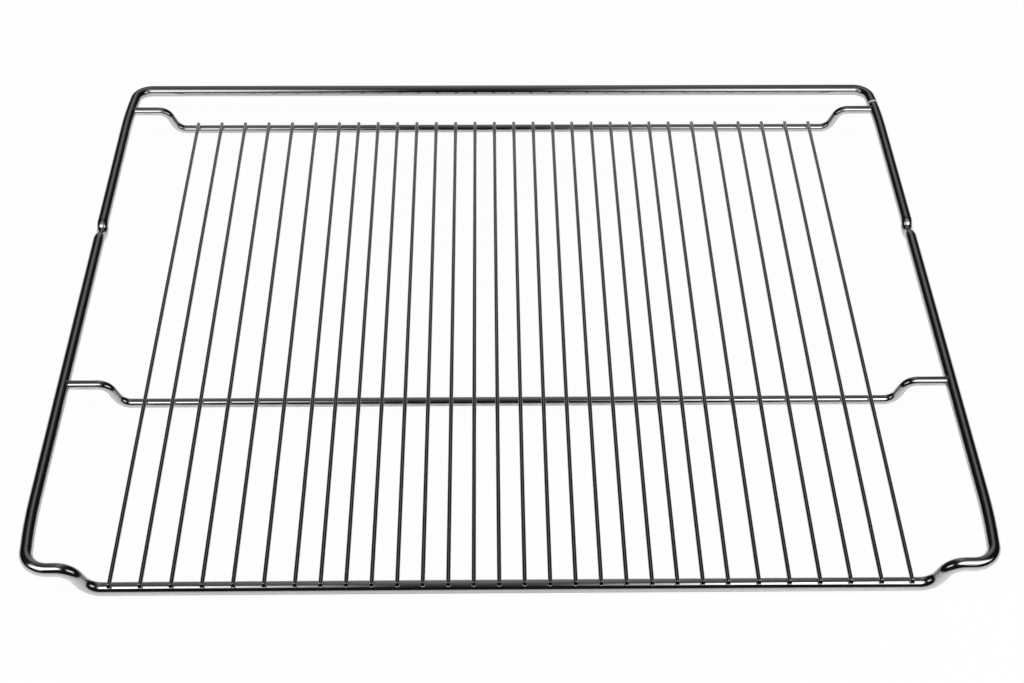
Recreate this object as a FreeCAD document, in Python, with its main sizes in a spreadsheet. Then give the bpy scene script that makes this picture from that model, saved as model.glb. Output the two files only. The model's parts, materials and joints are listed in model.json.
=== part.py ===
"""Oven shelf rack: a bent wire frame with two cross rods and a grid of thin wires, all welded.

Frame of the part: X across the shelf, Y from the front to the back, Z up. The origin is in the
middle of the footprint, on the surface that the shelf lies on. Lengths are in millimetres.
"""
import FreeCAD, Part
import math
import os
import re

import Sketcher
from FreeCAD import Placement, Rotation, Vector

doc = FreeCAD.newDocument("oven_shelf_rack")

# Driving dimensions: lengths in millimetres, slopes and turns in degrees, gaps as counts
SIZES = {
    "overall_width": "466",
    "overall_depth": "385",
    "frame_wire": "6.5",
    "cross_rod": "4.8",
    "grid_wire": "2.2",
    "grid_drop": "14.5",
    "rear_corner_radius": "9.5",
    "front_corner_radius": "11.5",
    "easing_radius": "300",
    "easing_turn": "6",
    "front_ledge": "4",
    "front_jog_radius": "10",
    "front_jog_slope": "64",
    "cross_ledge": "17.5",
    "cross_jog_radius": "7.5",
    "cross_jog_slope": "66",
    "rear_rod_inset": "21",
    "middle_rod_inset": "121",
    "notch_from_rear": "132.2",
    "notch_depth": "2.8",
    "notch_slope": "52",
    "notch_radius": "3.4",
    "notch_floor": "1",
    "ramp_slope": "26",
    "ramp_radius": "10",
    "close_pitch": "12",
    "close_gaps": "17",
    "wide_gaps": "6",
    "outer_wire_margin": "4",
    "wire_front_overhang": "2.7",
    "wire_rear_overhang": "0.8",
}

# Lines and levels that the pieces share, worked out from the driving dimensions.
# A bend is as round as its size says, or as the height that it drops through leaves room for.
LINES = {
    "rail_x": "(overall_width - frame_wire) / 2",
    "rear_y": "(overall_depth - frame_wire) / 2",
    "front_y": "(frame_wire - overall_depth) / 2",
    "rear_rod_y": "rear_y - rear_rod_inset",
    "middle_rod_y": "front_y + middle_rod_inset",
    "notch_y": "rear_y - notch_from_rear",
    "front_z": "frame_wire / 2",
    "rail_z": "front_z + grid_drop",
    "cross_z": "frame_wire - cross_rod / 2",
    "cross_drop": "rail_z - cross_z",
    "wire_z": "frame_wire + grid_wire / 2",
    "easing_in": "easing_radius * (1 - cos(easing_turn * 1 deg))",
    "easing_along": "easing_radius * sin(easing_turn * 1 deg)",
    "rear_corner_x": "rail_x - easing_in - rear_corner_radius * cos(easing_turn * 1 deg)",
    "rear_easing_y": "rear_y - rear_corner_radius * (1 - sin(easing_turn * 1 deg)) - easing_along",
    "front_corner_x": "rail_x - easing_in - front_corner_radius * cos(easing_turn * 1 deg)",
    "front_easing_y": "front_y + front_corner_radius * (1 - sin(easing_turn * 1 deg)) + easing_along",
    "front_bend": "min(front_jog_radius; 0.49 * grid_drop / (1 - cos(front_jog_slope * 1 deg)))",
    "front_foot_x": "front_corner_x - front_ledge - front_bend * tan(front_jog_slope * 0.5 deg) * 2"
                    " - grid_drop / tan(front_jog_slope * 1 deg)",
    "cross_bend": "min(cross_jog_radius; 0.49 * cross_drop / (1 - cos(cross_jog_slope * 1 deg)))",
    "cross_foot_x": "rail_x - cross_ledge - cross_bend * tan(cross_jog_slope * 0.5 deg) * 2"
                    " - cross_drop / tan(cross_jog_slope * 1 deg)",
    "notch_bend": "min(notch_radius; 0.49 * notch_depth / (1 - cos(notch_slope * 1 deg)))",
    "notch_start_y": "notch_y + notch_bend * tan(notch_slope * 0.5 deg) * 2"
                     " + notch_depth / tan(notch_slope * 1 deg)",
    "ramp_bend": "min(ramp_radius; 0.49 * notch_depth / (1 - cos(ramp_slope * 1 deg)))",
    "ramp_end_y": "notch_y - notch_floor - ramp_bend * tan(ramp_slope * 0.5 deg) * 2"
                  " - notch_depth / tan(ramp_slope * 1 deg)",
    "outer_wire_x": "min(front_foot_x; cross_foot_x) - outer_wire_margin",
    "close_half": "close_pitch * close_gaps / 2",
    "wide_pitch": "(outer_wire_x - close_half) / wide_gaps",
    "wire_front_y": "front_y - wire_front_overhang",
    "wire_length": "rear_rod_y + wire_rear_overhang - wire_front_y",
}


def named(formula):
    """A formula with its sizes and lines written the way that the document's expressions name them."""
    def owner(match):
        word = match[0]
        if word in SIZES:
            return f"Sizes.{word}"
        return f"Lines.{word}" if word in LINES else word
    return re.sub(r"[a-z_]+", owner, formula)


def bind(item, prop, formula):
    item.setExpression(prop, named(formula))


sheet = doc.addObject("Spreadsheet::Sheet", "Sizes")
for row, (alias, number) in enumerate(SIZES.items(), start=1):
    sheet.set(f"A{row}", alias)
    sheet.set(f"B{row}", number)
    sheet.setAlias(f"B{row}", alias)
lines = doc.addObject("App::VarSet", "Lines")
for line_name in LINES:
    lines.addProperty("App::PropertyFloat", line_name, "Lines")
for line_name, line_formula in LINES.items():
    bind(lines, line_name, line_formula)
doc.recompute()


def value(formula):
    """The number that a formula gives with the sheet as it stands."""
    return float(lines.evalExpression(named(formula)))


# Sketch helpers
START, END, CENTRE = 1, 2, 3
ORIGIN = -1
UP = Vector(0, 0, 1)


def new_body(name):
    body = doc.addObject("PartDesign::Body", name)
    body.Label = name
    return body


def origin_plane(body, role):
    return next(plane for plane in body.Origin.OriginFeatures if plane.Role == role)


def sketch_on(body, name, role, offset):
    """A sketch on one of the body's origin planes, moved along that plane's normal."""
    sketch = body.newObject("Sketcher::SketchObject", name)
    sketch.AttachmentSupport = (origin_plane(body, role), [""])
    sketch.MapMode = "FlatFace"
    bind(sketch, "AttachmentOffset.Base.z", offset)
    return sketch


def drive(sketch, name, kind, where, formula, number=None):
    """Adds a dimension to a sketch and binds it to a formula."""
    start = value(formula) if number is None else number
    index = sketch.addConstraint(Sketcher.Constraint(kind, *where, start))
    sketch.renameConstraint(index, name)
    bind(sketch, f"Constraints.{name}", formula)


def pin_point(sketch, name, geometry, point, x, y):
    """Fixes a point of a sketch by its two distances from the sketch's origin."""
    drive(sketch, f"{name}_x", "DistanceX", (ORIGIN, START, geometry, point), x)
    drive(sketch, f"{name}_y", "DistanceY", (ORIGIN, START, geometry, point), y)


def drive_turn(sketch, name, geometry, slope_size):
    """Sets how far an arc turns."""
    turn = math.radians(value(slope_size))
    drive(sketch, name, "Angle", (geometry,), f"{slope_size} * 1 deg", turn)


def add_line(sketch, x1, y1, x2, y2):
    return sketch.addGeometry(Part.LineSegment(Vector(x1, y1, 0), Vector(x2, y2, 0)), False)


def add_arc(sketch, centre_x, centre_y, radius, from_degrees, to_degrees):
    circle = Part.Circle(Vector(centre_x, centre_y, 0), UP, radius)
    arc = Part.ArcOfCircle(circle, math.radians(from_degrees), math.radians(to_degrees))
    return sketch.addGeometry(arc, False)


def join_smoothly(sketch, *joins):
    """Joins ends of neighbouring lines and arcs so that the wire bends without a kink."""
    for join in joins:
        sketch.addConstraint(Sketcher.Constraint("Tangent", *join))


def keep_level(sketch, *geometry):
    for item in geometry:
        sketch.addConstraint(Sketcher.Constraint("Horizontal", item))


def round_section(body, name, role, offset, x, y, diameter):
    """A sketch that holds the round section of a wire."""
    sketch = sketch_on(body, name, role, offset)
    centre = Vector(value(x), value(y), 0)
    circle = sketch.addGeometry(Part.Circle(centre, UP, value(diameter) / 2), False)
    pin_point(sketch, "centre", circle, CENTRE, x, y)
    drive(sketch, "across", "Diameter", (circle,), diameter)
    return sketch


def swept_wire(body, name, section, path):
    """A wire: its round section carried along a path."""
    doc.recompute()
    wire = body.newObject("PartDesign::AdditivePipe", name)
    wire.Profile = section
    wire.Spine = (path, [f"Edge{i + 1}" for i in range(path.GeometryCount)])
    wire.Mode = "Frenet"
    return wire


def both_sides(body, name, features):
    """Repeats features on the other side of the rack's middle plane."""
    doc.recompute()
    mirrored = body.newObject("PartDesign::Mirrored", name)
    mirrored.Originals = features
    mirrored.MirrorPlane = (origin_plane(body, "YZ_Plane"), [""])
    body.Tip = mirrored


# Paths of the bent wires
def rear_corner_path(body):
    """Half of the rear bar, the rear corner and the easing curve into the rail, seen from above."""
    sketch = sketch_on(body, "rear_corner_path", "XY_Plane", "rail_z")
    corner_x, bar_y, rail_x = lines.rear_corner_x, lines.rear_y, lines.rail_x
    radius, turn, easing = sheet.rear_corner_radius, sheet.easing_turn, sheet.easing_radius
    bar = add_line(sketch, 0, bar_y, corner_x, bar_y)
    corner = add_arc(sketch, corner_x, bar_y - radius, radius, turn, 90)
    ease = add_arc(sketch, rail_x - easing, lines.rear_easing_y, easing, 0, turn)
    join_smoothly(sketch, (bar, END, corner, END), (corner, START, ease, END))
    keep_level(sketch, bar)
    sketch.addConstraint(Sketcher.Constraint("Horizontal", ease, CENTRE, ease, START))
    pin_point(sketch, "bar_middle", bar, START, "0", "rear_y")
    drive(sketch, "rail_line", "DistanceX", (ORIGIN, START, ease, START), "rail_x")
    drive(sketch, "corner_radius", "Radius", (corner,), "rear_corner_radius")
    drive(sketch, "easing_radius", "Radius", (ease,), "easing_radius")
    drive_turn(sketch, "turn", ease, "easing_turn")
    return sketch


def front_corner_path(body):
    """The easing curve out of the rail and the front corner, seen from above."""
    sketch = sketch_on(body, "front_corner_path", "XY_Plane", "rail_z")
    corner_x, bar_y, rail_x = lines.front_corner_x, lines.front_y, lines.rail_x
    radius, turn, easing = sheet.front_corner_radius, sheet.easing_turn, sheet.easing_radius
    ease = add_arc(sketch, rail_x - easing, lines.front_easing_y, easing, -turn, 0)
    corner = add_arc(sketch, corner_x, bar_y + radius, radius, -90, -turn)
    join_smoothly(sketch, (ease, START, corner, END))
    sketch.addConstraint(Sketcher.Constraint("Horizontal", ease, CENTRE, ease, END))
    sketch.addConstraint(Sketcher.Constraint("Vertical", corner, CENTRE, corner, START))
    drive(sketch, "bar_line", "DistanceY", (ORIGIN, START, corner, START), "front_y")
    drive(sketch, "rail_line", "DistanceX", (ORIGIN, START, ease, END), "rail_x")
    drive(sketch, "corner_radius", "Radius", (corner,), "front_corner_radius")
    drive(sketch, "easing_radius", "Radius", (ease,), "easing_radius")
    drive_turn(sketch, "turn", ease, "easing_turn")
    return sketch


def rail_path(body):
    """A side rail seen from the side. Its notch keeps the shelf from tipping: it has a steep stop
    towards the rear, a short level floor and a ramp that rises to the front."""
    sketch = sketch_on(body, "rail_path", "YZ_Plane", "rail_x")
    level, floor = lines.rail_z, lines.rail_z - sheet.notch_depth
    stop_start, stop_foot = lines.notch_start_y, lines.notch_y
    ramp_foot, ramp_end = lines.notch_y - sheet.notch_floor, lines.ramp_end_y
    stop_radius, stop_slope = lines.notch_bend, sheet.notch_slope
    ramp_radius, ramp_slope = lines.ramp_bend, sheet.ramp_slope
    stop_y = stop_radius * math.sin(math.radians(stop_slope))
    stop_z = stop_radius * (1 - math.cos(math.radians(stop_slope)))
    ramp_y = ramp_radius * math.sin(math.radians(ramp_slope))
    ramp_z = ramp_radius * (1 - math.cos(math.radians(ramp_slope)))
    rear_run = add_line(sketch, lines.rear_easing_y, level, stop_start, level)
    stop_lip = add_arc(sketch, stop_start, level - stop_radius, stop_radius, 90, 90 + stop_slope)
    stop_flank = add_line(sketch, stop_start - stop_y, level - stop_z, stop_foot + stop_y, floor + stop_z)
    stop_dip = add_arc(sketch, stop_foot, floor + stop_radius, stop_radius, -90, -90 + stop_slope)
    floor_run = add_line(sketch, stop_foot, floor, ramp_foot, floor)
    ramp_dip = add_arc(sketch, ramp_foot, floor + ramp_radius, ramp_radius, -90 - ramp_slope, -90)
    ramp_flank = add_line(sketch, ramp_foot - ramp_y, floor + ramp_z, ramp_end + ramp_y, level - ramp_z)
    ramp_lip = add_arc(sketch, ramp_end, level - ramp_radius, ramp_radius, 90 - ramp_slope, 90)
    front_run = add_line(sketch, ramp_end, level, lines.front_easing_y, level)
    join_smoothly(
        sketch,
        (rear_run, END, stop_lip, START),
        (stop_lip, END, stop_flank, START),
        (stop_flank, END, stop_dip, END),
        (stop_dip, START, floor_run, START),
        (floor_run, END, ramp_dip, END),
        (ramp_dip, START, ramp_flank, START),
        (ramp_flank, END, ramp_lip, START),
        (ramp_lip, END, front_run, START),
    )
    keep_level(sketch, rear_run, floor_run, front_run)
    sketch.addConstraint(Sketcher.Constraint("Equal", stop_lip, stop_dip))
    sketch.addConstraint(Sketcher.Constraint("Equal", ramp_lip, ramp_dip))
    pin_point(sketch, "rear_end", rear_run, START, "rear_easing_y", "rail_z")
    pin_point(sketch, "front_end", front_run, END, "front_easing_y", "rail_z")
    pin_point(sketch, "stop_foot", floor_run, START, "notch_y", "rail_z - notch_depth")
    drive(sketch, "floor_length", "Distance", (floor_run,), "notch_floor")
    drive(sketch, "stop_radius", "Radius", (stop_lip,), "notch_bend")
    drive_turn(sketch, "stop_turn", stop_lip, "notch_slope")
    drive(sketch, "ramp_bend_radius", "Radius", (ramp_lip,), "ramp_bend")
    drive_turn(sketch, "ramp_turn", ramp_lip, "ramp_slope")
    return sketch


def jog_path(body, name, plane_y, start_x, foot_x, low_z, ledge, bend, slope):
    """Half of a bar seen from the front: a level ledge, the jog down and the level low run."""
    sketch = sketch_on(body, name, "XZ_Plane", f"0 - {plane_y}")
    high, low, foot = lines.rail_z, value(low_z), value(foot_x)
    radius, turn, ledge_x = value(bend), value(slope), value(f"{start_x} - {ledge}")
    bend_x = radius * math.sin(math.radians(turn))
    bend_z = radius * (1 - math.cos(math.radians(turn)))
    top = add_line(sketch, value(start_x), high, ledge_x, high)
    upper = add_arc(sketch, ledge_x, high - radius, radius, 90, 90 + turn)
    flank = add_line(sketch, ledge_x - bend_x, high - bend_z, foot + bend_x, low + bend_z)
    lower = add_arc(sketch, foot, low + radius, radius, -90, -90 + turn)
    run = add_line(sketch, foot, low, 0, low)
    join_smoothly(
        sketch,
        (top, END, upper, START),
        (upper, END, flank, START),
        (flank, END, lower, END),
        (lower, START, run, START),
    )
    keep_level(sketch, top, run)
    sketch.addConstraint(Sketcher.Constraint("Equal", upper, lower))
    pin_point(sketch, "ledge_start", top, START, start_x, "rail_z")
    pin_point(sketch, "run_middle", run, END, "0", low_z)
    drive(sketch, "ledge", "Distance", (top,), ledge)
    drive(sketch, "bend_radius", "Radius", (upper,), bend)
    drive_turn(sketch, "turn", upper, slope)
    return sketch


# Pieces
def perimeter_frame():
    """The closed loop of thick wire: rear bar, corners, notched rails, front jogs and front bar."""
    body = new_body("perimeter_frame")
    rear_section = round_section(body, "rear_section", "YZ_Plane", "0", "rear_y", "rail_z", "frame_wire")
    rear = swept_wire(body, "rear_corner", rear_section, rear_corner_path(body))
    rail_section = round_section(
        body, "rail_section", "XZ_Plane", "0 - rear_easing_y", "rail_x", "rail_z", "frame_wire")
    rail = swept_wire(body, "rail", rail_section, rail_path(body))
    corner_section = round_section(
        body, "corner_section", "XZ_Plane", "0 - front_easing_y", "rail_x", "rail_z", "frame_wire")
    corner = swept_wire(body, "front_corner", corner_section, front_corner_path(body))
    ledge_section = round_section(
        body, "ledge_section", "YZ_Plane", "front_corner_x", "front_y", "rail_z", "frame_wire")
    front_path = jog_path(body, "front_path", "front_y", "front_corner_x", "front_foot_x", "front_z",
                          "front_ledge", "front_bend", "front_jog_slope")
    front = swept_wire(body, "front_bar", ledge_section, front_path)
    both_sides(body, "left_half", [rear, rail, corner, front])
    return body


def cross_rod(name, rod_y, frame):
    """A rod across the rack, bent down at both ends and coped to the rails that carry it."""
    blank = new_body(f"{name}_blank")
    section = round_section(blank, f"{name}_section", "YZ_Plane", "rail_x", rod_y, "rail_z", "cross_rod")
    path = jog_path(blank, f"{name}_path", rod_y, "rail_x", "cross_foot_x", "cross_z",
                    "cross_ledge", "cross_bend", "cross_jog_slope")
    half = swept_wire(blank, f"{name}_half", section, path)
    both_sides(blank, f"{name}_other_half", [half])
    rod = doc.addObject("Part::Cut", name)
    rod.Label = name
    rod.Base = blank
    rod.Tool = frame
    return rod


def grid_wire(number, x):
    """A thin straight wire with square-cut ends that lies on the front bar and on both cross rods."""
    wire = doc.addObject("Part::Cylinder", f"grid_wire_{number:02d}")
    wire.Label = wire.Name
    wire.Placement = Placement(Vector(), Rotation(Vector(1, 0, 0), -90))
    bind(wire, "Radius", "grid_wire / 2")
    bind(wire, "Height", "wire_length")
    bind(wire, "Placement.Base.x", x)
    bind(wire, "Placement.Base.y", "wire_front_y")
    bind(wire, "Placement.Base.z", "wire_z")
    return wire


def grid_wires():
    """All wires of the grid: a close pitch in the middle, a wider one towards both sides."""
    close_gaps, wide_gaps = round(sheet.close_gaps), round(sheet.wide_gaps)
    right_side = [f"close_half + {gap} * wide_pitch" for gap in range(1, wide_gaps + 1)]
    close_zone = [f"{gap} * close_pitch - close_half" for gap in range(close_gaps + 1)]
    left_side = [f"0 - ({x})" for x in reversed(right_side)]
    places = [*left_side, *close_zone, *right_side]
    return [grid_wire(number, x) for number, x in enumerate(places, start=1)]


frame = perimeter_frame()
rear_rod = cross_rod("rear_cross_rod", "rear_rod_y", frame)
middle_rod = cross_rod("middle_cross_rod", "middle_rod_y", frame)
pieces = [frame, rear_rod, middle_rod, *grid_wires()]
doc.recompute()

# Every object is sound, and every piece is one solid, before anything is written
for item in doc.Objects:
    if "Invalid" in item.State or "Error" in item.State:
        raise RuntimeError(f"{item.Label} failed: {item.State}")
for piece in pieces:
    if piece.Shape.isNull() or not piece.Shape.isValid():
        raise RuntimeError(f"{piece.Label} has no valid shape")
    if len(piece.Shape.Solids) != 1:
        raise RuntimeError(f"{piece.Label} has {len(piece.Shape.Solids)} solids, not one")

os.makedirs("parts", exist_ok=True)
for piece in pieces:
    piece.Shape.exportStep(f"parts/{piece.Label}.step")
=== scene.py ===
"""Oven shelf rack: plated wires, their welds and a plain studio, built round the packed frame.

Lengths are in metres, on the frame's axes: X across the shelf, Y from front to back, Z up.
"""

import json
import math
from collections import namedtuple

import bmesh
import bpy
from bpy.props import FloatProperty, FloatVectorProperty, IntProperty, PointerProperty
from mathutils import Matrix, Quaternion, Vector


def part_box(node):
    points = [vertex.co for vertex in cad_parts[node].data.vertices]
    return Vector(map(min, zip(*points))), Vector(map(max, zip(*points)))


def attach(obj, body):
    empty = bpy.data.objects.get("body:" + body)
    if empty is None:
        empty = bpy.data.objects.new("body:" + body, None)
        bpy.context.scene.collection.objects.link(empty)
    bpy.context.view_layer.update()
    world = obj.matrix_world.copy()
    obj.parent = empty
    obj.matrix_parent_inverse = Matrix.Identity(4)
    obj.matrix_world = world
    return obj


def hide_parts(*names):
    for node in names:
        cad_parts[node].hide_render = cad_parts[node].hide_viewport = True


bl_info = {
    "name": "Oven Shelf Rack",
    "version": (1, 0, 0),
    "blender": (4, 5, 0),
    "location": "3D View > Sidebar > Shelf Rack",
    "description": "Bends, welds and plates the wires of an oven shelf rack",
    "category": "Add Mesh",
}

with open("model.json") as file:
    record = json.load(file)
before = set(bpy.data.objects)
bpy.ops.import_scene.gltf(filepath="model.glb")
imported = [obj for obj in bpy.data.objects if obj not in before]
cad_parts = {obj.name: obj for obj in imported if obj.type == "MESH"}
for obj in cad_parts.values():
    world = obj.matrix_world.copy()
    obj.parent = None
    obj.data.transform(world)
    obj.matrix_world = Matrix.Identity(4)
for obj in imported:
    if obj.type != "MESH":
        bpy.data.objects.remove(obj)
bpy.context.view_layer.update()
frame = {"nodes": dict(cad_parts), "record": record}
MOUNTS = {mount["name"]: mount for mount in frame["record"]["mounts"]}
GRID_NODES = sorted(name for name in frame["nodes"] if name.startswith("grid_wire"))
FRAME_LOW, FRAME_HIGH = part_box("perimeter_frame")
BODY = "root"

UP = Vector((0, 0, 1))
FULL_TURN = 2 * math.pi
RIGHT_ANGLE = math.pi / 2
MILLIMETRE = 0.001
RAIL_WIRE = 2 * MOUNTS["left_rail"]["dims"]["r_mm"] * MILLIMETRE


# Settings
def length_setting(label, text, default):
    return FloatProperty(name=label, description=text, default=default, min=0, precision=5,
                         subtype="DISTANCE", unit="LENGTH")


def angle_setting(label, text, degrees):
    return FloatProperty(name=label, description=text, default=math.radians(degrees),
                         subtype="ANGLE", unit="ROTATION")


def factor_setting(label, text, default):
    return FloatProperty(name=label, description=text, default=default, min=0, max=1, subtype="FACTOR")


def glow_setting(label, text, default):
    return FloatProperty(name=label, description=text, default=default, min=0)


def colour_setting(label, text, default):
    return FloatVectorProperty(name=label, description=text, default=default, size=3, min=0, max=1,
                               subtype="COLOR")


class FrameWireSettings(bpy.types.PropertyGroup):
    """The thick wire that runs round the rack"""

    wire: length_setting("Wire", "Diameter of the frame's wire", RAIL_WIRE)
    rear_corner: length_setting("Rear corner", "Bend radius of the rear corners", 0.0095)
    front_corner: length_setting("Front corner", "Bend radius of the front corners", 0.0115)
    easing: length_setting("Easing", "Radius of the slow bend between a rail and its corners", 0.3)
    easing_turn: angle_setting("Easing turn", "How far the slow bend turns", 6)
    ledge: length_setting("Ledge", "Level stretch between a front corner and the bend down", 0.004)
    jog: length_setting("Jog", "Bend radius where the front bar drops", 0.010)
    jog_slope: angle_setting("Jog slope", "Slope where the front bar drops", 64)
    stop: length_setting("Stop", "Bend radius of the steep stop at the rear of a rail's notch", 0.0034)
    stop_slope: angle_setting("Stop slope", "Slope of the stop", 52)
    notch_floor: length_setting("Notch floor", "Level stretch between the stop and the ramp", 0.001)
    ramp: length_setting("Ramp", "Bend radius of the ramp at the front of a rail's notch", 0.010)
    ramp_slope: angle_setting("Ramp slope", "Slope of the ramp", 26)


class CrossRodSettings(bpy.types.PropertyGroup):
    """The two rods that carry the grid"""

    rod: length_setting("Rod", "Diameter of a cross rod", 0.0048)
    ledge: length_setting("Ledge", "Level stretch from the middle of a rail to the bend down", 0.0175)
    jog: length_setting("Jog", "Bend radius where a rod drops", 0.0075)
    jog_slope: angle_setting("Jog slope", "Slope where a rod drops", 66)


class GridWireSettings(bpy.types.PropertyGroup):
    """The thin wires of the grid"""

    wire: length_setting("Wire", "Diameter of a grid wire", 0.0022)
    end_round: length_setting("End rounding", "Rounding of the cut ends under the plating", 0.00015)
    burnish: length_setting("Burnished band", "Height of the upright foot of a sheared end", 0.00055)
    shear: angle_setting("Shear", "How far the sheared front ends lean back", 33)


class WeldSettings(bpy.types.PropertyGroup):
    """What the welding leaves at the crossings, the rod ends and the frame's butt joint"""

    nugget_across: length_setting("Nugget across", "Reach of a nugget to each side of its wire", 0.00135)
    nugget_along: length_setting("Nugget along", "Reach of a nugget along its grid wire", 0.0015)
    collar: length_setting("Collar", "Thickness of the bead round a rod's end", 0.0007)
    butt_bead: length_setting("Butt bead", "Width of the ring at the frame's butt joint", 0.0018)
    neck: length_setting("Neck", "Depth of the neck that the ring lies in", 0.0004)
    neck_reach: length_setting("Neck reach", "How far the neck reaches to each side of the joint", 0.0015)
    butt_from_rear: length_setting("Butt joint", "From the rear bar's middle line to the joint", 0.0155)


class PlateSettings(bpy.types.PropertyGroup):
    """The chrome plating"""

    colour: colour_setting("Colour", "Reflection colour of the plating", (0.549, 0.556, 0.554))
    gloss_low: factor_setting("Least roughness", "Roughness of the clearest plating", 0.06)
    gloss_high: factor_setting("Most roughness", "Roughness of the cloudiest plating", 0.13)
    line_depth: length_setting("Draw lines", "Depth of the fine lines left by wire drawing", 0.0000002)
    dull_colour: colour_setting("Dull colour", "Colour of the trimmed butt weld", (0.62, 0.62, 0.61))
    dull_metal: factor_setting("Dull metal", "How metallic the trimmed butt weld is", 0.35)
    dull_gloss: factor_setting("Dull roughness", "Least roughness of the trimmed butt weld", 0.45)


class StudioSettings(bpy.types.PropertyGroup):
    """Floor, light and camera"""

    floor: colour_setting("Floor", "Colour of the floor", (0.86, 0.86, 0.86))
    floor_radius: length_setting("Floor radius", "How far the floor reaches", 40)
    floor_white: factor_setting("White floor", "Share of plain white that the camera sees", 0.96)
    # Painted light: how much plain white metal sees on the floor, dimmer in front and brighter to the
    # rear
    front_floor_painted_light: factor_setting("Front floor in metal", "Share of plain white that metal shows", 0.28)
    rear_floor_painted_light: factor_setting("Rear floor in metal", "Share of plain white that metal shows", 0.72)
    floor_polish: FloatProperty(name="Floor polish", description="Refractive index of its varnish",
                                default=1.7, min=1)
    strip_glow: glow_setting("Strip lights", "Full radiance of the lights over the front bar", 1.1)
    rear_strip_glow: glow_setting("Rear strip lights", "Full radiance of those over the rear bar", 0.22)
    corner_glow: glow_setting("Corner boxes", "Radiance of the boxes near the front corners", 0.5)
    top_glow: glow_setting("Top panels", "Radiance of the overhead panels", 4.8)
    rear_glow: factor_setting("Rear glow", "Brightness of the studio behind the shelf", 0.27)
    dim_glow: factor_setting("Dim glow", "Brightness of the rest of the studio", 0.009)
    eye: FloatVectorProperty(name="Camera", description="Place of the camera", size=3, precision=4,
                             default=(-0.01173, -0.69672, 0.65161),
                             subtype="TRANSLATION", unit="LENGTH")
    pitch: angle_setting("Pitch", "How far the camera looks down", 43.862)
    yaw: angle_setting("Yaw", "How far the camera turns to the left", -1.196)
    roll: angle_setting("Roll", "How far the camera leans", 0.581)
    lens: FloatProperty(name="Lens", description="Focal length", default=60.608,
                        subtype="DISTANCE_CAMERA", unit="CAMERA")


class RackSettings(bpy.types.PropertyGroup):
    """Everything that can be set on the rack"""

    sides: IntProperty(name="Sides", description="Sides of a bent wire's section", default=48, min=8)
    frame_wire: PointerProperty(type=FrameWireSettings)
    cross_rod: PointerProperty(type=CrossRodSettings)
    grid_wire: PointerProperty(type=GridWireSettings)
    weld: PointerProperty(type=WeldSettings)
    plate: PointerProperty(type=PlateSettings)
    studio: PointerProperty(type=StudioSettings)


# Bending a wire
Feed = namedtuple("Feed", "length")
Bend = namedtuple("Bend", "side radius turn")
BEND_STEP = math.radians(4)
MIN_BEND_STEPS = 4
DRAWN = "drawn"
QUAD = 4


def new_ring(made):
    """The vertices of a newly made ring and the edges that join them."""
    verts = [item for item in made if isinstance(item, bmesh.types.BMVert)]
    members = set(verts)
    edges = [item for item in made
             if isinstance(item, bmesh.types.BMEdge) and members.issuperset(item.verts)]
    return verts, edges


def edges_round(verts):
    """The edges of a ring that nothing else joins yet."""
    return list(dict.fromkeys(edge for vert in verts for edge in vert.link_edges))


def facing_along(heading):
    """Turns a shape's Z axis to a heading."""
    return heading.to_track_quat("Z", "Y").to_matrix().to_4x4()


def is_flat(face):
    """Only flat ends have more corners than a quad."""
    return len(face.verts) > QUAD


class WireBender:
    """Makes a round wire as a bending machine does: it feeds the wire on and bends it at its tip."""

    def __init__(self, diameter, start, heading, sides):
        self.mesh = bmesh.new()
        self.drawn = self.mesh.verts.layers.float_vector.new(DRAWN)
        self.tip = Vector(start)
        self.heading = Vector(heading).normalized()
        facing = facing_along(self.heading)
        place = Matrix.Translation(self.tip) @ facing
        circle = bmesh.ops.create_circle(self.mesh, segments=sides, radius=diameter / 2, matrix=place)
        self.first = circle["verts"]
        for vert in self.first:
            vert[self.drawn] = facing.inverted() @ (vert.co - self.tip)
        self.tip_verts = self.first
        self.tip_edges = list(self.mesh.edges)

    def directions(self):
        right = self.heading.cross(UP).normalized()
        above = right.cross(self.heading)
        return {"right": right, "left": -right, "up": above, "down": -above}

    def advance(self, made, length):
        """Takes the newly made ring as the tip and notes how much wire lies behind it."""
        self.tip_verts, self.tip_edges = new_ring(made)
        for vert in self.tip_verts:
            vert[self.drawn] += UP * length

    def feed(self, length):
        made = bmesh.ops.extrude_edge_only(self.mesh, edges=self.tip_edges)["geom"]
        self.advance(made, length)
        step = self.heading * length
        bmesh.ops.translate(self.mesh, verts=self.tip_verts, vec=step)
        self.tip += step

    def bend(self, side, radius, turn):
        towards = self.directions()[side]
        centre = self.tip + towards * radius
        axis = self.heading.cross(towards)
        steps = max(MIN_BEND_STEPS, math.ceil(turn / BEND_STEP))
        for _ in range(steps):
            made = bmesh.ops.spin(self.mesh, geom=[*self.tip_verts, *self.tip_edges], cent=centre,
                                  axis=axis, angle=turn / steps, steps=1, use_merge=False,
                                  use_duplicate=False)["geom_last"]
            self.advance(made, radius * turn / steps)
        turning = Matrix.Rotation(turn, 3, axis)
        self.tip = centre + turning @ (self.tip - centre)
        self.heading = turning @ self.heading

    def run(self, program):
        for move in program:
            if isinstance(move, Feed):
                self.feed(move.length)
            else:
                self.bend(*move)

    def close_ends(self):
        """Puts a flat face on both ends of the wire."""
        for verts in (self.first, self.tip_verts):
            face = bmesh.ops.contextual_create(self.mesh, geom=verts)["faces"]
            bmesh.ops.recalc_face_normals(self.mesh, faces=face)


def jog_flank(drop, radius, slope):
    """Straight stretch between the two bends of a drop."""
    return (drop - 2 * radius * (1 - math.cos(slope))) / math.sin(slope)


def jog_reach(drop, radius, slope):
    """How far a drop reaches along the wire's level direction."""
    return 2 * radius * math.sin(slope) + jog_flank(drop, radius, slope) * math.cos(slope)


def jog_down(drop, radius, slope):
    """The moves that take a level wire down by a drop and level it again."""
    flank = jog_flank(drop, radius, slope)
    return [Bend("down", radius, slope), Feed(flank), Bend("up", radius, slope)]


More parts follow.
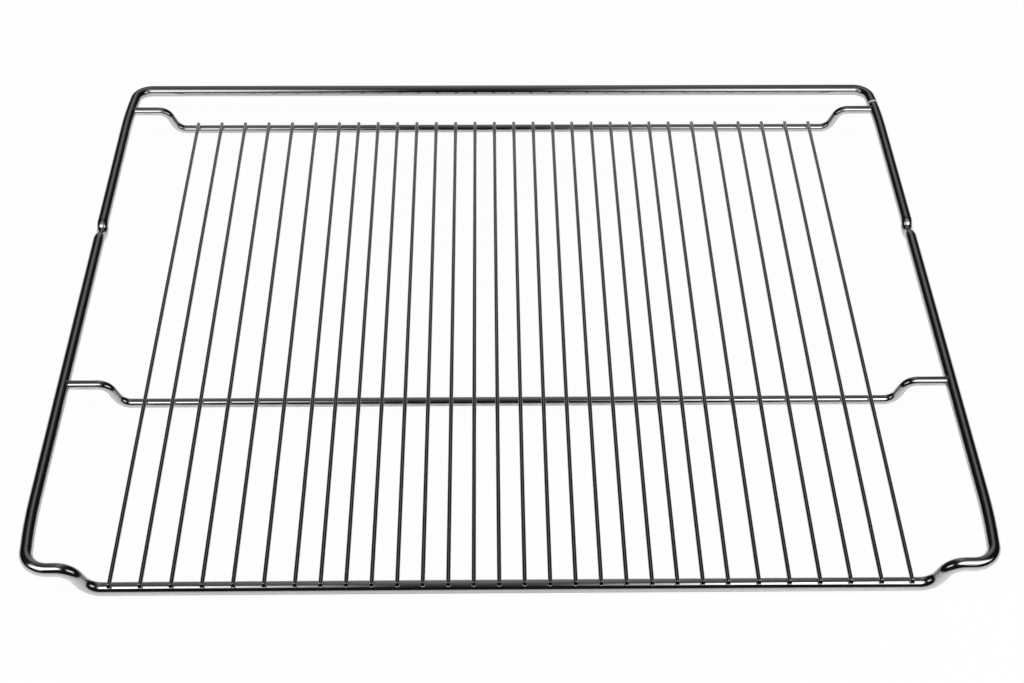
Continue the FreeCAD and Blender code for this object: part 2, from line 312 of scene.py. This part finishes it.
def add_piece(name, mesh, material, replaces=()):
    """Makes an object of the rack from a bmesh."""
    bmesh.ops.recalc_face_normals(mesh, faces=mesh.faces)
    for face in mesh.faces:
        face.smooth = not is_flat(face)
        if is_flat(face):
            for edge in face.edges:
                edge.smooth = False
    data = bpy.data.meshes.new(name)
    mesh.to_mesh(data)
    mesh.free()
    data.materials.append(material)
    piece = bpy.data.objects.new(name, data)
    bpy.context.scene.collection.objects.link(piece)
    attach(piece, BODY)
    if replaces:
        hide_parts(*replaces)


# Finishes
Finish = namedtuple("Finish", "colour metal gloss_low gloss_high")
WHITE = (1, 1, 1, 1)
CLOUD_SCALE = 180.0
CLOUD_DETAIL = 3.0
THIN_CLOUD = 0.35
THICK_CLOUD = 0.75
DULL_CLOUDING = 1.2
LINE_SCALE = (3500, 3500, 40)
GRAIN_SCALE = (2500, 2500, 2500)
LINE_DETAIL = 2.0


def put(tree, socket, given):
    """Links another node's output to a socket, or sets the socket to a value."""
    if isinstance(given, bpy.types.NodeSocket):
        tree.links.new(given, socket)
    else:
        socket.default_value = given


def node(tree, kind, **inputs):
    """Adds a shader node and fills its inputs, whose names here have underscores for spaces."""
    made = tree.nodes.new(kind)
    for name, given in inputs.items():
        put(tree, made.inputs[name.replace("_", " ")], given)
    return made


def math_node(tree, operation, *values):
    made = tree.nodes.new("ShaderNodeMath")
    made.operation = operation
    for socket, given in zip(made.inputs, values):
        put(tree, socket, given)
    return made.outputs["Value"]


def mix_shaders(tree, share, first, second):
    """Mixes a share of the second shader into the first."""
    made = tree.nodes.new("ShaderNodeMixShader")
    for socket, given in zip(made.inputs, (share, first, second)):
        put(tree, socket, given)
    return made.outputs["Shader"]


def plated_steel(name, finish, line_depth, on_wire):
    """Plating with cloudy gloss, over lines that run along a drawn wire or over a weld's grain."""
    material = bpy.data.materials.get(name)
    if material:
        return material
    material = bpy.data.materials.new(name)
    material.use_nodes = True
    tree = material.node_tree
    shader = tree.nodes["Principled BSDF"]
    put(tree, shader.inputs["Base Color"], (*finish.colour, 1))
    put(tree, shader.inputs["Metallic"], finish.metal)
    if on_wire:
        source = tree.nodes.new("ShaderNodeAttribute")
        source.attribute_name = DRAWN
        place = source.outputs["Vector"]
    else:
        place = tree.nodes.new("ShaderNodeTexCoord").outputs["Object"]
    cloud = node(tree, "ShaderNodeTexNoise", Vector=place, Scale=CLOUD_SCALE, Detail=CLOUD_DETAIL)
    gloss = node(tree, "ShaderNodeMapRange", Value=cloud.outputs["Fac"], From_Min=THIN_CLOUD,
                 From_Max=THICK_CLOUD, To_Min=finish.gloss_low, To_Max=finish.gloss_high)
    put(tree, shader.inputs["Roughness"], gloss.outputs["Result"])
    scale = LINE_SCALE if on_wire else GRAIN_SCALE
    stretched = node(tree, "ShaderNodeMapping", Vector=place, Scale=scale).outputs["Vector"]
    lines = node(tree, "ShaderNodeTexNoise", Vector=stretched, Scale=1.0, Detail=LINE_DETAIL)
    bump = node(tree, "ShaderNodeBump", Height=lines.outputs["Fac"], Strength=1.0, Distance=line_depth)
    put(tree, shader.inputs["Normal"], bump.outputs["Normal"])
    return material


def bright_finish(plate):
    return Finish(plate.colour, 1, plate.gloss_low, plate.gloss_high)


def wire_plating(plate):
    return plated_steel("wire_plating", bright_finish(plate), plate.line_depth, True)


def weld_plating(plate):
    return plated_steel("weld_plating", bright_finish(plate), plate.line_depth, False)


def dull_weld(plate):
    """Skin of the butt weld, which was trimmed and stayed dull under the plating."""
    cloudiest = plate.dull_gloss * DULL_CLOUDING
    finish = Finish(plate.dull_colour, plate.dull_metal, plate.dull_gloss, cloudiest)
    return plated_steel("dull_weld", finish, plate.line_depth, False)


# Places on the frame
Lines = namedtuple("Lines", "rail_x rear_y front_y rail_z front_z")
Joint = namedtuple("Joint", "place heading turn")


def frame_lines(sizes):
    """Middle lines of the right rail, the rear bar and the front bar, and the two levels."""
    half = sizes.wire / 2
    return Lines(
        rail_x=FRAME_HIGH.x - half,
        rear_y=FRAME_HIGH.y - half,
        front_y=FRAME_LOW.y + half,
        rail_z=FRAME_HIGH.z - half,
        front_z=FRAME_LOW.z + half,
    )


def rear_easing_start(sizes):
    """Where a rail's straight part ends and its slow bend to the rear corner starts."""
    bent = math.sin(sizes.easing_turn)
    return frame_lines(sizes).rear_y - sizes.rear_corner * (1 - bent) - sizes.easing * bent


def butt_joint(settings):
    """Place and heading of the frame's butt joint, and what the slow bend still turns after it."""
    sizes = settings.frame_wire
    lines = frame_lines(sizes)
    straight_end = rear_easing_start(sizes)
    turn = math.asin((lines.rear_y - settings.weld.butt_from_rear - straight_end) / sizes.easing)
    turning = Matrix.Rotation(turn, 3, UP)
    centre = Vector((lines.rail_x - sizes.easing, straight_end, lines.rail_z))
    place = centre + turning @ Vector((sizes.easing, 0, 0))
    return Joint(place, turning @ Vector((0, -1, 0)), turn)


def middle_of(cad_node):
    low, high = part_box(cad_node)
    return (low + high) / 2


# Wires
CLOSING_ERROR = 0.00001
SUNK = 0.00008
END_SEGMENTS = 3


class SHELF_OT_frame_wire(bpy.types.Operator):
    """Bends the frame's wire round the rack, from its butt joint back to it"""

    bl_idname = "shelf_rack.frame_wire"
    bl_label = "Bend Frame Wire"

    def execute(self, context):
        settings = context.scene.shelf_rack
        sizes = settings.frame_wire
        joint = butt_joint(settings)
        bender = WireBender(sizes.wire, joint.place, joint.heading, settings.sides)
        neck_turn = settings.weld.neck_reach / sizes.easing
        bender.run(self.program(sizes, joint.turn, neck_turn))
        if (bender.tip - joint.place).length > CLOSING_ERROR:
            raise RuntimeError("the frame's wire does not come back to its butt joint")
        seam = [*bender.first, *bender.tip_verts]
        bmesh.ops.remove_doubles(bender.mesh, verts=seam, dist=2 * CLOSING_ERROR)
        self.press_neck(bender.mesh, joint, sizes.wire, settings.weld)
        add_piece("frame_wire", bender.mesh, wire_plating(settings.plate), ["perimeter_frame"])
        return {"FINISHED"}

    @staticmethod
    def press_neck(mesh, joint, wire, weld):
        """Narrows the wire on both sides of the butt joint."""
        for vert in mesh.verts:
            out = vert.co - joint.place
            along = out.dot(joint.heading)
            out -= joint.heading * along
            if abs(along) < weld.neck_reach and out.length < wire:
                depth = weld.neck * (1 + math.cos(math.pi * along / weld.neck_reach)) / 2
                vert.co -= out.normalized() * depth

    @staticmethod
    def program(sizes, joint_turn, neck_turn):
        """The moves that bend the wire, clockwise from the butt joint on the right rail."""
        lines = frame_lines(sizes)
        turn = sizes.easing_turn
        corner_turn = RIGHT_ANGLE - turn
        eased_in = lines.rail_x - sizes.easing * (1 - math.cos(turn))
        rear_corner_x = eased_in - sizes.rear_corner * math.cos(turn)
        front_corner_x = eased_in - sizes.front_corner * math.cos(turn)
        rear_end = rear_easing_start(sizes)
        front_end = (lines.front_y + sizes.front_corner * (1 - math.sin(turn))
                     + sizes.easing * math.sin(turn))
        notch = Vector(MOUNTS["right_notch"]["pos_m"])
        depth = FRAME_HIGH.z - notch.z
        stop = jog_down(depth, sizes.stop, sizes.stop_slope)
        ramp = jog_down(depth, sizes.ramp, sizes.ramp_slope)
        half_floor = sizes.notch_floor / 2
        stop_start = notch.y + half_floor + jog_reach(depth, sizes.stop, sizes.stop_slope)
        ramp_end = notch.y - half_floor - jog_reach(depth, sizes.ramp, sizes.ramp_slope)
        drop = lines.rail_z - lines.front_z
        foot_x = front_corner_x - sizes.ledge - jog_reach(drop, sizes.jog, sizes.jog_slope)
        side = [
            Feed(rear_end - stop_start),
            *stop,
            Feed(sizes.notch_floor),
            *reversed(ramp),
            Feed(ramp_end - front_end),
            Bend("right", sizes.easing, turn),
            Bend("right", sizes.front_corner, corner_turn),
            Feed(sizes.ledge),
            *jog_down(drop, sizes.jog, sizes.jog_slope),
        ]
        return [
            Bend("right", sizes.easing, neck_turn),
            Bend("right", sizes.easing, joint_turn - neck_turn),
            *side,
            Feed(2 * foot_x),
            *reversed(side),
            Bend("right", sizes.easing, turn),
            Bend("right", sizes.rear_corner, corner_turn),
            Feed(2 * rear_corner_x),
            Bend("right", sizes.rear_corner, corner_turn),
            Bend("right", sizes.easing, turn - joint_turn - neck_turn),
            Bend("right", sizes.easing, neck_turn),
        ]


class SHELF_OT_cross_rods(bpy.types.Operator):
    """Bends the two rods that carry the grid and fits their ends to the rails"""

    bl_idname = "shelf_rack.cross_rods"
    bl_label = "Bend Cross Rods"

    def execute(self, context):
        for name in ("rear", "middle"):
            self.bend_rod(context.scene.shelf_rack, f"{name}_rod", f"{name}_cross_rod")
        return {"FINISHED"}

    @staticmethod
    def bend_rod(settings, name, cad_node):
        sizes = settings.cross_rod
        lines = frame_lines(settings.frame_wire)
        low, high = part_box(cad_node)
        drop = lines.rail_z - (low.z + sizes.rod / 2)
        foot_x = lines.rail_x - sizes.ledge - jog_reach(drop, sizes.jog, sizes.jog_slope)
        start = (lines.rail_x, (low.y + high.y) / 2, lines.rail_z)
        bender = WireBender(sizes.rod, start, (-1, 0, 0), settings.sides)
        half = [Feed(sizes.ledge), *jog_down(drop, sizes.jog, sizes.jog_slope)]
        bender.run([*half, Feed(2 * foot_x), *reversed(half)])
        rail_radius = settings.frame_wire.wire / 2
        for vert in [*bender.first, *bender.tip_verts]:
            inward = math.sqrt(rail_radius ** 2 - (vert.co.z - lines.rail_z) ** 2)
            vert.co.x = math.copysign(lines.rail_x - inward + SUNK, vert.co.x)
        bender.close_ends()
        add_piece(name, bender.mesh, wire_plating(settings.plate), [cad_node])


class SHELF_OT_grid_wires(bpy.types.Operator):
    """Cuts the straight wires of the grid, shears their front ends and eases the rims"""

    bl_idname = "shelf_rack.grid_wires"
    bl_label = "Cut Grid Wires"

    def execute(self, context):
        for cad_node in GRID_NODES:
            self.cut_wire(context.scene.shelf_rack, cad_node.replace("grid_wire", "wire"), cad_node)
        return {"FINISHED"}

    def cut_wire(self, settings, name, cad_node):
        sizes = settings.grid_wire
        low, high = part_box(cad_node)
        middle = middle_of(cad_node)
        start = (middle.x, low.y, middle.z)
        bender = WireBender(sizes.wire, start, (0, 1, 0), settings.sides // 2)
        bender.feed(high.y - low.y)
        crease = self.shear_end(bender.first, middle.x, low.z + sizes.burnish, sizes.shear)
        bender.close_ends()
        bmesh.ops.connect_verts(bender.mesh, verts=crease)
        rims = [edge for edge in bender.mesh.edges if sum(map(is_flat, edge.link_faces)) == 1]
        bmesh.ops.bevel(bender.mesh, geom=rims, offset=sizes.end_round, affect="EDGES",
                        segments=END_SEGMENTS, profile=0.5, material=-1)
        add_piece(name, bender.mesh, wire_plating(settings.plate), [cad_node])

    @staticmethod
    def shear_end(rim, middle_x, level, shear):
        """Leans an end's rim back above a level and gives the two rim points where the lean starts."""
        crease = []
        for side in (-1, 1):
            flank = [vert for vert in rim if side * (vert.co.x - middle_x) > 0]
            crease.append(min(flank, key=lambda vert: abs(vert.co.z - level)))
        start = crease[0].co.z
        for vert in rim:
            vert.co.y += max(vert.co.z - start, 0) * math.tan(shear)
        return crease


# Welds
NuggetRing = namedtuple("NuggetRing", "across along lift")
NUGGET_SIDES = 20
WAIST_ACROSS = 0.78
WAIST_ALONG = 0.92
WAIST_LIFT = 0.35
CROWN_ACROSS = 0.94
CROWN_ALONG = 1.1
BEAD_SIDES = 10
BEAD_STEPS = 40


def ring_bead(mesh, radius, thick, wide, facing):
    """A closed bead round a wire whose middle line is the facing's Z axis."""
    before = set(mesh.verts)
    turned = Matrix.Translation((radius, 0, 0)) @ Matrix.Rotation(RIGHT_ANGLE, 4, "X")
    section = bmesh.ops.create_circle(mesh, segments=BEAD_SIDES, radius=0.5, matrix=turned)["verts"]
    for vert in section:
        vert.co.x = radius + (vert.co.x - radius) * thick
        vert.co.z *= wide
    bmesh.ops.spin(mesh, geom=[*section, *edges_round(section)], cent=(0, 0, 0), axis=UP,
                   angle=FULL_TURN, steps=BEAD_STEPS, use_merge=True, use_duplicate=False)
    verts = [vert for vert in mesh.verts if vert not in before]
    bmesh.ops.transform(mesh, matrix=facing, verts=verts)
    return verts


class SHELF_OT_crossing_welds(bpy.types.Operator):
    """Puts a weld nugget under each grid wire on the front bar and on both rods"""

    bl_idname = "shelf_rack.crossing_welds"
    bl_label = "Weld Crossings"

    def execute(self, context):
        settings = context.scene.shelf_rack
        bar_y = frame_lines(settings.frame_wire).front_y
        rows = {"front_bar_welds": (bar_y, settings.frame_wire.wire / 2)}
        for name in ("middle", "rear"):
            rod_y = middle_of(f"{name}_cross_rod").y
            rows[f"{name}_rod_welds"] = (rod_y, settings.cross_rod.rod / 2)
        for name, (line_y, radius) in rows.items():
            mesh = bmesh.new()
            for cad_node in GRID_NODES:
                wire = middle_of(cad_node)
                under = Vector((wire.x, line_y, wire.z - settings.grid_wire.wire / 2))
                self.add_nugget(mesh, settings, under, radius)
            add_piece(name, mesh, weld_plating(settings.plate))
        return {"FINISHED"}

    @staticmethod
    def add_nugget(mesh, settings, place, rod_radius):
        """A small saddle that fills the corner between a grid wire and the rod under it."""
        wire_radius = settings.grid_wire.wire / 2
        across, along = settings.weld.nugget_across, settings.weld.nugget_along
        rings = (
            NuggetRing(across, along, 0),
            NuggetRing(across * WAIST_ACROSS, along * WAIST_ALONG, WAIST_LIFT),
            NuggetRing(wire_radius * CROWN_ACROSS, along * CROWN_ALONG, 1),
        )

        def on_rod(y):
            return math.sqrt(rod_radius ** 2 - y ** 2) - rod_radius - SUNK

        def on_wire(x):
            return wire_radius - math.sqrt(max(wire_radius ** 2 - x ** 2, 0)) + SUNK

        foot = bmesh.ops.create_circle(mesh, segments=NUGGET_SIDES, radius=1)["verts"]
        edges = edges_round(foot)
        stack = [foot]
        for _ in rings[1:]:
            verts, edges = new_ring(bmesh.ops.extrude_edge_only(mesh, edges=edges)["geom"])
            stack.append(verts)
        for verts, ring in zip(stack, rings):
            for vert in verts:
                x, y = vert.co.x * ring.across, vert.co.y * ring.along
                z = on_rod(y) * (1 - ring.lift) + on_wire(x) * ring.lift
                vert.co = place + Vector((x, y, z))
        for verts in (stack[0], stack[-1]):
            bmesh.ops.contextual_create(mesh, geom=verts)


class SHELF_OT_rod_end_welds(bpy.types.Operator):
    """Puts a weld bead round each rod's end, against the rail"""

    bl_idname = "shelf_rack.rod_end_welds"
    bl_label = "Weld Rod Ends"

    def execute(self, context):
        settings = context.scene.shelf_rack
        lines = frame_lines(settings.frame_wire)
        rail_radius = settings.frame_wire.wire / 2
        rod_radius = settings.cross_rod.rod / 2
        thick = settings.weld.collar
        crosswise = Matrix.Rotation(RIGHT_ANGLE, 4, "Y")
        mesh = bmesh.new()
        for name in ("middle", "rear"):
            rod_y = middle_of(f"{name}_cross_rod").y
            for side in (-1, 1):
                bead = ring_bead(mesh, rod_radius, thick, thick, crosswise)
                for vert in bead:
                    height = min(abs(vert.co.z), rail_radius)
                    vert.co.x += side * (lines.rail_x - math.sqrt(rail_radius ** 2 - height ** 2))
                bmesh.ops.translate(mesh, verts=bead, vec=(0, rod_y, lines.rail_z))
        add_piece("rod_end_welds", mesh, weld_plating(settings.plate))
        return {"FINISHED"}


class SHELF_OT_butt_weld(bpy.types.Operator):
    """Puts the trimmed weld ring on the frame's butt joint"""

    bl_idname = "shelf_rack.butt_weld"
    bl_label = "Weld Butt Joint"

    def execute(self, context):
        settings = context.scene.shelf_rack
        weld = settings.weld
        joint = butt_joint(settings)
        radius = settings.frame_wire.wire / 2 - weld.neck / 2
        mesh = bmesh.new()
        verts = ring_bead(mesh, radius, weld.neck, weld.butt_bead, facing_along(joint.heading))
        bmesh.ops.translate(mesh, verts=verts, vec=joint.place)
        add_piece("butt_weld", mesh, dull_weld(settings.plate))
        return {"FINISHED"}


# Studio
Strip = namedtuple("Strip", "bar lean distance width height fade spread inner")
SIDES = {"left": -1, "right": 1}
FLOOR_SIDES = 96
FLOOR_GLOSS = 0.12
REAR_GLOW_RISE = 1.5
REAR_GLOW_WIDTH = 0.22
HALF = 0.5
FRONT_STRIP = Strip(
    bar=Vector((0, FRAME_LOW.y, FRAME_LOW.z)),
    lean=math.radians(21),
    distance=0.483,
    width=1.0,
    height=0.265,
    fade=0.22,
    spread=math.radians(130),
    inner={"left": -0.065, "right": 0.02},
)
REAR_STRIP = Strip(
    bar=Vector((0, FRAME_HIGH.y, FRAME_HIGH.z)),
    lean=math.radians(46),
    distance=0.15,
    width=0.8,
    height=0.19,
    fade=0.23,
    spread=math.radians(120),
    inner={"left": -0.048, "right": 0.01},
)
CORNER_BOX_SIZE = 0.32
CORNER_BOX_DISTANCE = 0.3
CORNER_BOX_INNER = {"left": -0.19, "right": 0.1}
TOP_PANEL_SIZE = 1.2
TOP_PANEL_ASIDE = 1.3
TOP_PANEL_Y = -0.15
TOP_PANEL_HEIGHT = 1.5
SENSOR_WIDTH = 36


def floor_material(studio):
    """A pale floor with the rack's shadow, near white to the camera. To metal it glows whiter towards the
    rear, which is painted light that only reflections show.
    """
    material = bpy.data.materials.new("pale_floor")
    material.use_nodes = True
    tree = material.node_tree
    tree.nodes.clear()
    diffuse = node(tree, "ShaderNodeBsdfDiffuse", Color=(*studio.floor, 1)).outputs["BSDF"]
    white = node(tree, "ShaderNodeEmission", Color=WHITE, Strength=1.0).outputs["Emission"]
    path = tree.nodes.new("ShaderNodeLightPath").outputs
    shiny = math_node(tree, "MAXIMUM", path["Is Glossy Ray"], path["Is Transmission Ray"])
    position = tree.nodes.new("ShaderNodeNewGeometry").outputs["Position"]
    depth = node(tree, "ShaderNodeSeparateXYZ", Vector=position).outputs["Y"]
    # Painted light: the floor's white glow for glossy rays grows from front to rear, in place of real
    # light and shade on the floor
    share = node(tree, "ShaderNodeMapRange", Value=depth, From_Min=FRAME_LOW.y, From_Max=FRAME_HIGH.y,
                 To_Min=studio.front_floor_painted_light, To_Max=studio.rear_floor_painted_light)
    painted_light_share = math_node(tree, "MULTIPLY", shiny, share.outputs["Result"])
    matt = mix_shaders(tree, painted_light_share, diffuse, white)
    polish = node(tree, "ShaderNodeBsdfGlossy", Color=WHITE, Roughness=FLOOR_GLOSS).outputs["BSDF"]
    gloss = node(tree, "ShaderNodeFresnel", IOR=studio.floor_polish).outputs["Fac"]
    polished = mix_shaders(tree, gloss, matt, polish)
    seen = math_node(tree, "MULTIPLY", path["Is Camera Ray"], studio.floor_white)
    node(tree, "ShaderNodeOutputMaterial", Surface=mix_shaders(tree, seen, polished, white))
    return material


def studio_world(studio):
    """A dim room that is lighter behind the shelf and dark to the sides and the front."""
    world = bpy.data.worlds.new("dim_studio")
    world.use_nodes = True
    tree = world.node_tree
    direction = tree.nodes.new("ShaderNodeTexCoord").outputs["Generated"]
    view = node(tree, "ShaderNodeSeparateXYZ", Vector=direction).outputs
    rear = node(tree, "ShaderNodeMapRange", Value=view["Y"], From_Min=-1.0, From_Max=1.0,
                To_Min=0.0, To_Max=1.0)
    rising = math_node(tree, "POWER", rear.outputs["Result"], REAR_GLOW_RISE)
    aside = math_node(tree, "DIVIDE", view["X"], REAR_GLOW_WIDTH)
    middle = math_node(tree, "POWER", HALF, math_node(tree, "MULTIPLY", aside, aside))
    glow = math_node(tree, "MULTIPLY", rising, middle)
    strength = math_node(tree, "MULTIPLY_ADD", glow, studio.rear_glow, studio.dim_glow)
    background = tree.nodes["Background"]
    put(tree, background.inputs["Strength"], strength)
    put(tree, background.inputs["Color"], WHITE)
    bpy.context.scene.world = world


def add_panel(name, place, target, width, height, radiance):
    """A rectangular light that faces a target."""
    light = bpy.data.lights.new(name, "AREA")
    light.shape = "RECTANGLE"
    light.size = width
    light.size_y = height
    light.energy = radiance * math.pi * width * height
    lamp = bpy.data.objects.new(name, light)
    lamp.visible_camera = False
    lamp.location = place
    lamp.rotation_mode = "QUATERNION"
    lamp.rotation_quaternion = (target - place).to_track_quat("-Z", "Y")
    bpy.context.scene.collection.objects.link(lamp)
    return lamp


def over_bar(bar, x, lean, distance):
    """A place above a bar and before it, and the spot on the bar under it."""
    spot = bar + Vector((x, 0, 0))
    return spot + distance * Vector((0, -math.sin(lean), math.cos(lean))), spot


def add_strip_light(name, strip, side, radiance):
    """A long light over a bar that grows brighter away from the shelf's middle."""
    inner, outward = strip.inner[side], SIDES[side]
    place, spot = over_bar(strip.bar, inner + outward * strip.width / 2, strip.lean, strip.distance)
    light = add_panel(name, place, spot, strip.width, strip.height, radiance).data
    light.spread = strip.spread
    light.use_nodes = True
    tree = light.node_tree
    position = tree.nodes.new("ShaderNodeNewGeometry").outputs["Position"]
    across = node(tree, "ShaderNodeSeparateXYZ", Vector=position).outputs["X"]
    fade = node(tree, "ShaderNodeMapRange", Value=across, From_Min=inner,
                From_Max=inner + outward * strip.fade, To_Min=0.0, To_Max=1.0)
    fade.interpolation_type = "SMOOTHSTEP"
    put(tree, tree.nodes["Emission"].inputs["Strength"], fade.outputs["Result"])


def add_corner_box(name, side, radiance):
    """A square light near a front corner that stands on one corner, so it starts as a wedge."""
    middle = CORNER_BOX_INNER[side] + SIDES[side] * CORNER_BOX_SIZE / math.sqrt(2)
    place, spot = over_bar(FRONT_STRIP.bar, middle, FRONT_STRIP.lean, CORNER_BOX_DISTANCE)
    box = add_panel(name, place, spot, CORNER_BOX_SIZE, CORNER_BOX_SIZE, radiance)
    box.rotation_quaternion @= Quaternion(UP, RIGHT_ANGLE / 2)
    box.data.spread = FRONT_STRIP.spread


def add_top_panel(name, side, radiance):
    """A large light overhead that lights the shelf and stays out of its reflections."""
    place = Vector((SIDES[side] * TOP_PANEL_ASIDE, TOP_PANEL_Y, TOP_PANEL_HEIGHT))
    panel = add_panel(name, place, Vector(), TOP_PANEL_SIZE, TOP_PANEL_SIZE, radiance)
    panel.visible_glossy = False


def add_camera(studio):
    data = bpy.data.cameras.new("camera")
    data.sensor_width = SENSOR_WIDTH
    data.sensor_fit = "HORIZONTAL"
    data.lens = studio.lens
    camera = bpy.data.objects.new("camera", data)
    camera.matrix_world = (Matrix.Translation(studio.eye) @ Matrix.Rotation(studio.yaw, 4, "Z")
                           @ Matrix.Rotation(RIGHT_ANGLE - studio.pitch, 4, "X")
                           @ Matrix.Rotation(studio.roll, 4, "Z"))
    bpy.context.scene.collection.objects.link(camera)
    bpy.context.scene.camera = camera


def add_floor(studio):
    mesh = bmesh.new()
    bmesh.ops.create_circle(mesh, cap_ends=True, segments=FLOOR_SIDES, radius=studio.floor_radius)
    data = bpy.data.meshes.new("floor")
    mesh.to_mesh(data)
    mesh.free()
    data.materials.append(floor_material(studio))
    floor = bpy.data.objects.new("floor", data)
    bpy.context.scene.collection.objects.link(floor)


class SHELF_OT_stage(bpy.types.Operator):
    """Lays the floor, hangs the lights and sets up the camera"""

    bl_idname = "shelf_rack.stage"
    bl_label = "Set Stage"

    def execute(self, context):
        studio = context.scene.shelf_rack.studio
        add_floor(studio)
        studio_world(studio)
        for side in SIDES:
            add_strip_light(f"{side}_strip", FRONT_STRIP, side, studio.strip_glow)
        for side in SIDES:
            add_strip_light(f"{side}_rear_strip", REAR_STRIP, side, studio.rear_strip_glow)
        for side in SIDES:
            add_corner_box(f"{side}_corner_box", side, studio.corner_glow)
        for side in SIDES:
            add_top_panel(f"{side}_top_panel", side, studio.top_glow)
        add_camera(studio)
        context.scene.view_settings.view_transform = "Standard"
        return {"FINISHED"}


# Sidebar and registration
GROUP_NAMES = {
    FrameWireSettings: "frame_wire",
    CrossRodSettings: "cross_rod",
    GridWireSettings: "grid_wire",
    WeldSettings: "weld",
    PlateSettings: "plate",
    StudioSettings: "studio",
}
OPERATORS = (
    SHELF_OT_frame_wire,
    SHELF_OT_cross_rods,
    SHELF_OT_grid_wires,
    SHELF_OT_crossing_welds,
    SHELF_OT_rod_end_welds,
    SHELF_OT_butt_weld,
    SHELF_OT_stage,
)


class SHELF_PT_sidebar(bpy.types.Panel):
    """Lists the rack's settings and the steps that make it"""

    bl_idname = "SHELF_PT_sidebar"
    bl_label = "Oven Shelf Rack"
    bl_space_type = "VIEW_3D"
    bl_region_type = "UI"
    bl_category = "Shelf Rack"

    def draw(self, context):
        settings = context.scene.shelf_rack
        for group, group_name in GROUP_NAMES.items():
            box = self.layout.box()
            box.label(text=group.__doc__)
            for name in group.__annotations__:
                box.prop(getattr(settings, group_name), name)
        self.layout.prop(settings, "sides")
        for operator in OPERATORS:
            self.layout.operator(operator.bl_idname)


CLASSES = (*GROUP_NAMES, RackSettings, *OPERATORS, SHELF_PT_sidebar)


def register():
    for item in CLASSES:
        bpy.utils.register_class(item)
    bpy.types.Scene.shelf_rack = PointerProperty(type=RackSettings)


def unregister():
    del bpy.types.Scene.shelf_rack
    for item in reversed(CLASSES):
        bpy.utils.unregister_class(item)


def main():
    register()
    bpy.ops.shelf_rack.frame_wire()
    bpy.ops.shelf_rack.cross_rods()
    bpy.ops.shelf_rack.grid_wires()
    bpy.ops.shelf_rack.crossing_welds()
    bpy.ops.shelf_rack.rod_end_welds()
    bpy.ops.shelf_rack.butt_weld()
    bpy.ops.shelf_rack.stage()


if __name__ == "__main__":
    main()
